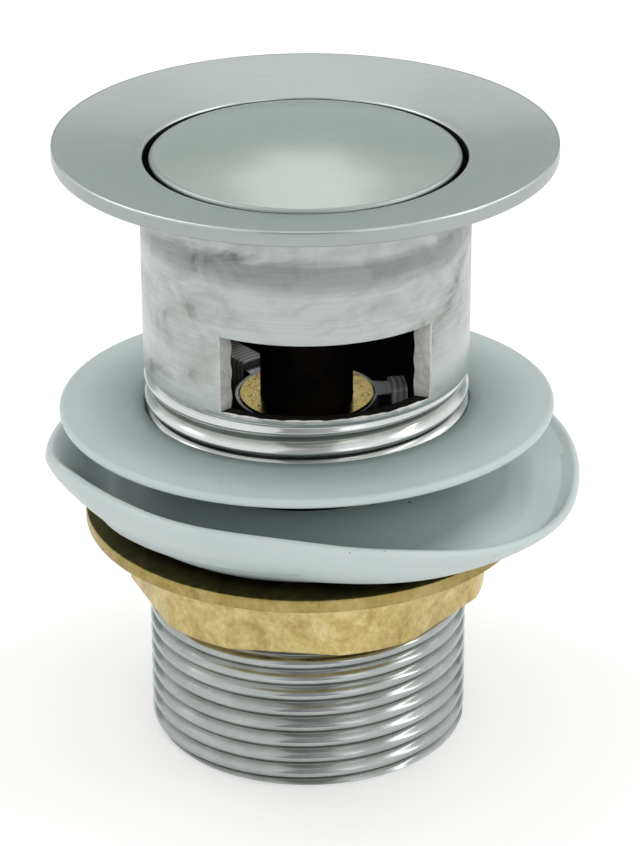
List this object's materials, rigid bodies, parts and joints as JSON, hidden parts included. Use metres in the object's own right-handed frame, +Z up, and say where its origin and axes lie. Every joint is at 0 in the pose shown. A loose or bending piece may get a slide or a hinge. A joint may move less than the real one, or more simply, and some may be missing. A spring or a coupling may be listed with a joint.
{
  "type": "pop up basin waste",
  "caption": "Slotted pop up basin waste: dished flange, push-to-open plug, overflow windows, threaded tail, flat and tapered washers and a flanged back nut.",
  "frame": {"origin": "centre of the tail's foot face, on the waste's axis", "axes": "+Z up the axis towards the plug, -Y towards the front with the visible overflow window"},
  "size_m": [0.0696, 0.0696, 0.0819],
  "materials": {
    "body_chrome": "plated, a little smudged, with faint turning lines",
    "cap_chrome": "polished plating",
    "black_rubber": "matt moulded rubber",
    "brass": "satin mottled brass",
    "steel": "plain steel",
    "acetal": "moulded, satin",
    "dark_plastic": "dark satin",
    "white_plastic": "pale translucent plastic",
    "white_rubber": "soft pale rubber"
  },
  "bodies": {
    "waste": {"waste_body": "body_chrome", "cartridge_housing": "dark_plastic", "guide_pin": "steel", "plunger_bush": "acetal", "plunger_o_ring": "black_rubber", "gland_nut": "brass", "housing_foot_plug": "brass", "hub_bush": "brass", "hub_washer": "steel", "hub_lock_nut": "brass", "return_spring": "steel"},
    "plug": {"plug_cap": "cap_chrome", "plug_seal": "black_rubber", "seal_plate": "brass", "plug_lock_nut": "brass", "plunger": "steel", "thrust_washer": "steel", "rotor_clip": "steel"},
    "rotor": {"cam_rotor": "acetal"},
    "soft_washer": {"tapered_washer": "white_rubber"},
    "nut": {"back_nut": "brass"},
    "slip_washer": {"flat_washer": "white_plastic"}
  },
  "joints": [
    {"name": "plug_slide", "type": "slide", "parent": "waste", "child": "plug", "axis": [0, 0, 1], "range_m": [-0.0012, 0.008], "deforming": ["return_spring"]},
    {"name": "rotor_turn", "type": "hinge", "parent": "plug", "child": "rotor", "pos_m": [0, 0, 0.0429], "axis": [0, 0, 1], "range_deg": [-40, 6.2]},
    {"name": "stack_lift", "type": "slide", "parent": "waste", "child": "soft_washer", "axis": [0, 0, 1], "range_m": [-0.0186, 0.0186]},
    {"name": "nut_turn", "type": "hinge", "parent": "soft_washer", "child": "nut", "pos_m": [0, 0, 0.0205], "axis": [0, 0, 1], "range_deg": [-2880, 2880]},
    {"name": "flat_washer_slide", "type": "slide", "parent": "soft_washer", "child": "slip_washer", "axis": [0, 0, 1], "range_m": [-0.0009, 0.011]}
  ],
  "couplings": [
    {"joint": "rotor_turn", "follows": "plug_slide", "rad_per_m": -86.508},
    {"joint": "stack_lift", "follows": "nut_turn", "m_per_rad": 0.00036749}
  ]
}
